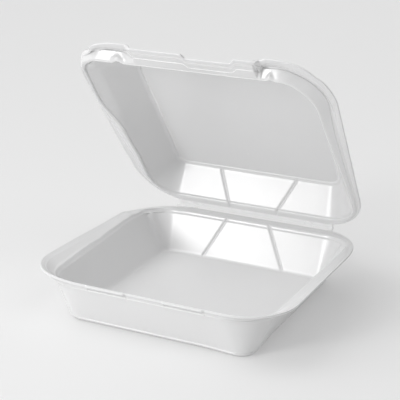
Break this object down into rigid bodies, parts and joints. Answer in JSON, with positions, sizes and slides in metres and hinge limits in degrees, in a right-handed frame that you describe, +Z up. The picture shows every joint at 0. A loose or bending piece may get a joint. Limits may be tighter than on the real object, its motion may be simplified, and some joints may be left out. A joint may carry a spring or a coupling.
{
  "type": "foam clamshell container",
  "caption": "Square hinged foam take-away container with a deep tray, a shallow lid, flared rims and front latch lugs.",
  "frame": {"origin": "on the underside of the tray, in the middle of its width and level with the middle of its walls", "axes": "+X along the hinge, +Y from the front towards the hinge, +Z up"},
  "size_m": [0.2374, 0.243, 0.2315],
  "materials": {
    "foam": "soft satin skin of foamed polystyrene, white"
  },
  "bodies": {
    "tray": {"base_tray": "foam"},
    "lid": {"lid": "foam"}
  },
  "joints": [
    {"name": "lid_hinge", "type": "hinge", "parent": "tray", "child": "lid", "pos_m": [0, 0.1195, 0.044], "axis": [-1, 0, 0], "range_deg": [-49.8, 128.2]}
  ]
}
